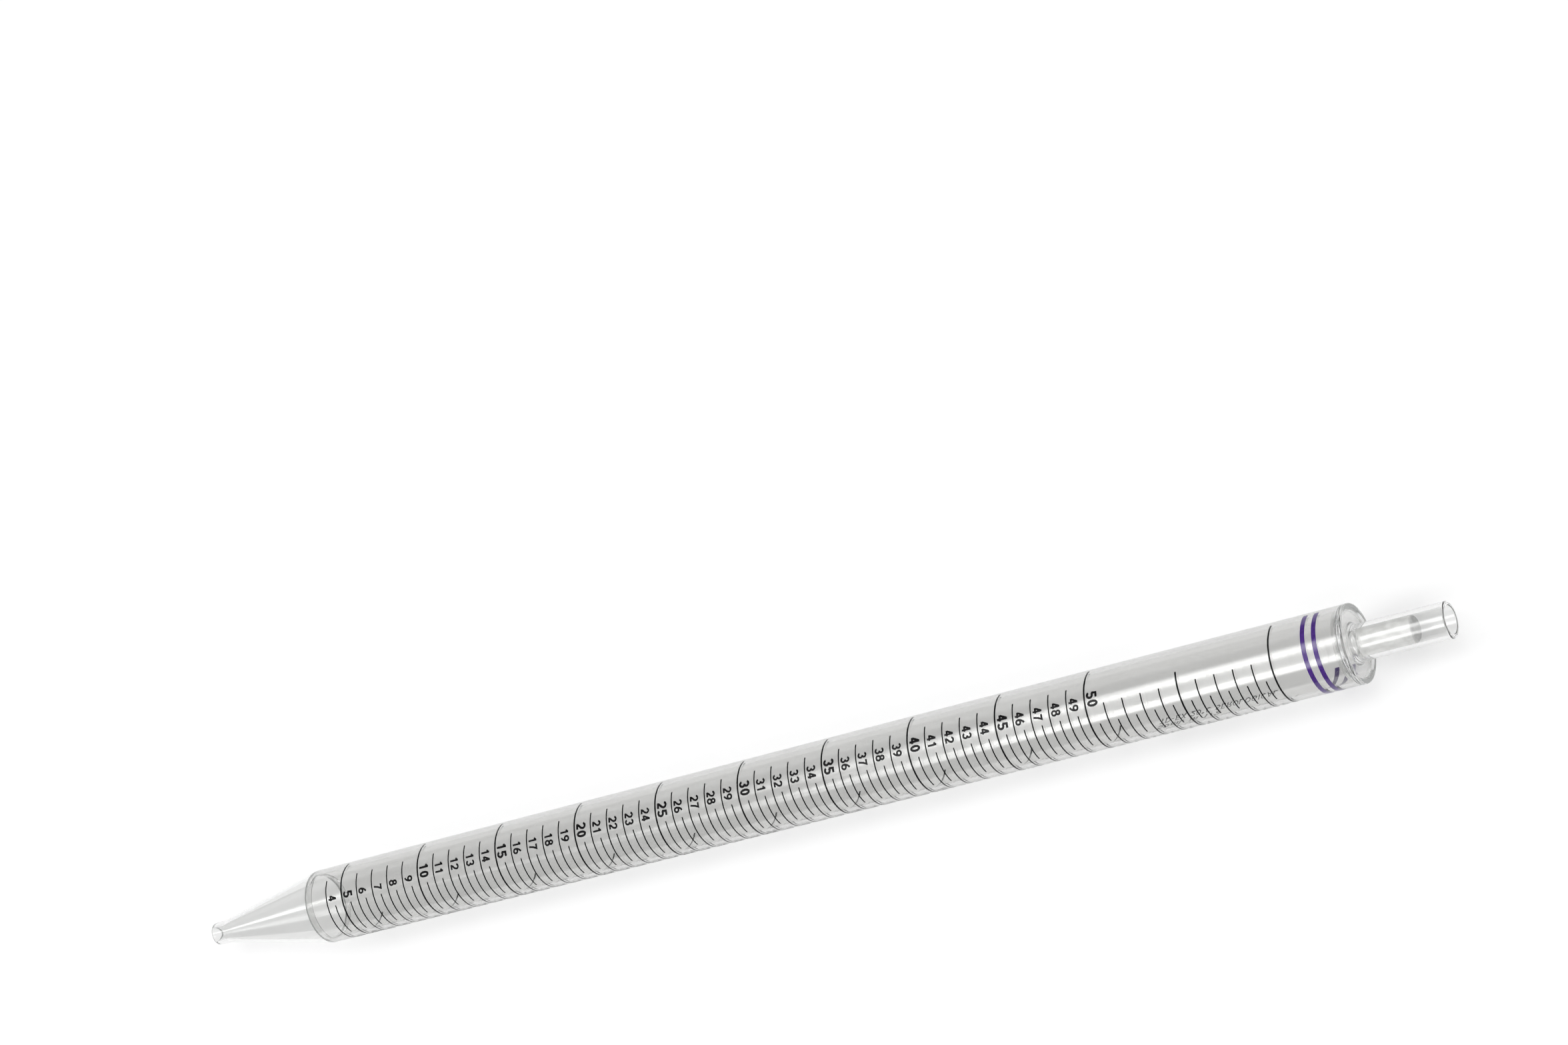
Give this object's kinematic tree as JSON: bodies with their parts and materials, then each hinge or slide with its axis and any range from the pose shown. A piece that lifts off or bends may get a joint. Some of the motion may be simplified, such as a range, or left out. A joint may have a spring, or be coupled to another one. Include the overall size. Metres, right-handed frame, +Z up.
{
  "type": "serological pipette",
  "caption": "Clear plastic graduated measuring pipette with a conical dropper tip, printed double scale, colour bands and a plugged mouthpiece stem.",
  "frame": {"origin": "Centre of the bounding box in X and Y, on the surface the pipette lies on, which touches the flange.", "axes": "+X runs along the pipette from the tip to the mouthpiece; +Z is up; the pipette lies on its side with its scale facing up and towards -Y."},
  "size_m": [0.3434, 0.0186, 0.0186],
  "materials": {
    "clear_moulding": "clear moulded polystyrene, glossy",
    "clear_tube": "clear extruded polystyrene, glossy",
    "filter_fibre": "bonded white fibre",
    "black_ink": "screen-printed ink",
    "purple_ink": "screen-printed ink"
  },
  "bodies": {
    "root": {"pipette_tip": "clear_moulding", "body_tube": "clear_tube", "mouthpiece": "clear_moulding", "filter_plug": "filter_fibre", "five_ml_lines": "black_ink", "one_ml_lines": "black_ink", "half_ml_lines": "black_ink", "ascending_numerals": "black_ink", "descending_numerals": "black_ink", "lower_colour_band": "purple_ink", "upper_colour_band": "purple_ink", "calibration_legend": "black_ink"}
  },
  "joints": []
}
